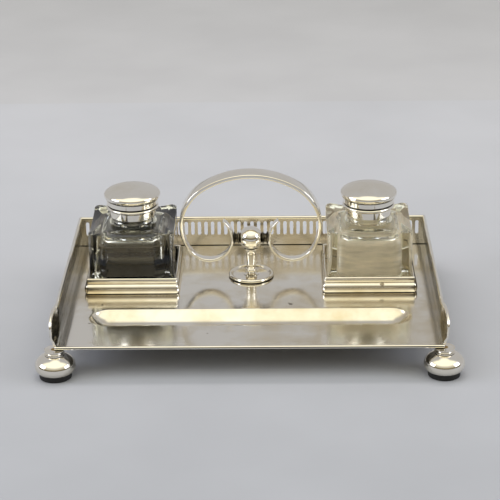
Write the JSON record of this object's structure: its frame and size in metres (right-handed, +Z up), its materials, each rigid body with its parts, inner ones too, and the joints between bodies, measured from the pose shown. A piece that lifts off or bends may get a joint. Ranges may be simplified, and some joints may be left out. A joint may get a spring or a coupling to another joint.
{
  "type": "desk inkstand with two inkwells",
  "caption": "Silver-plated desk inkstand: gallery tray on bun feet with a pen trough, square glass inkwells with hinged domed lids, and a scrolled carrying handle.",
  "frame": {"origin": "on the ground, under the middle of the tray", "axes": "+X to the right along the tray's width, +Y towards the back gallery, +Z up"},
  "size_m": [0.2544, 0.1844, 0.0898],
  "materials": {
    "silver_plate": "polished silver plate with fine scratches",
    "glass": "clear moulded glass with polished faces",
    "brass": "plain turned brass",
    "pad": "black, matt",
    "plaster": "set plaster",
    "dried_ink": "dried blue-black ink crust"
  },
  "bodies": {
    "stand": {"tray_plate": "silver_plate", "front_edge_wire": "silver_plate", "back_gallery": "silver_plate", "left_gallery": "silver_plate", "right_gallery": "silver_plate", "back_rail": "silver_plate", "left_rail": "silver_plate", "right_rail": "silver_plate", "front_left_foot": "silver_plate", "front_right_foot": "silver_plate", "back_left_foot": "silver_plate", "back_right_foot": "silver_plate", "front_left_pad": "pad", "front_right_pad": "pad", "back_left_pad": "pad", "back_right_pad": "pad", "foot_collars": "silver_plate", "foot_screws": "brass", "left_holder": "silver_plate", "right_holder": "silver_plate", "handle_base": "silver_plate", "handle_post": "silver_plate", "handle_ball": "silver_plate", "left_boss": "silver_plate", "right_boss": "silver_plate", "handle_band": "silver_plate", "handle_stud": "brass", "handle_washer": "brass", "handle_nut": "brass"},
    "left_well": {"left_glass": "glass", "left_cement": "plaster", "left_collar": "silver_plate", "left_hinge_pin": "brass", "left_dried_ink": "dried_ink"},
    "right_well": {"right_glass": "glass", "right_cement": "plaster", "right_collar": "silver_plate", "right_hinge_pin": "brass"},
    "left_lid": {"left_lid_skirt": "silver_plate", "left_lid_dome": "silver_plate"},
    "right_lid": {"right_lid_skirt": "silver_plate", "right_lid_dome": "silver_plate"}
  },
  "joints": [
    {"name": "left_well_lift", "type": "slide", "parent": "stand", "child": "left_well", "axis": [0, 0, 1], "range_m": [0, 0.02]},
    {"name": "right_well_lift", "type": "slide", "parent": "stand", "child": "right_well", "axis": [0, 0, 1], "range_m": [0, 0.02]},
    {"name": "left_lid_hinge", "type": "hinge", "parent": "left_well", "child": "left_lid", "pos_m": [-0.0747, 0.0457, 0.06925], "axis": [-1, 0, 0], "range_deg": [0, 105]},
    {"name": "right_lid_hinge", "type": "hinge", "parent": "right_well", "child": "right_lid", "pos_m": [0.0747, 0.0457, 0.06925], "axis": [-1, 0, 0], "range_deg": [0, 105]}
  ]
}
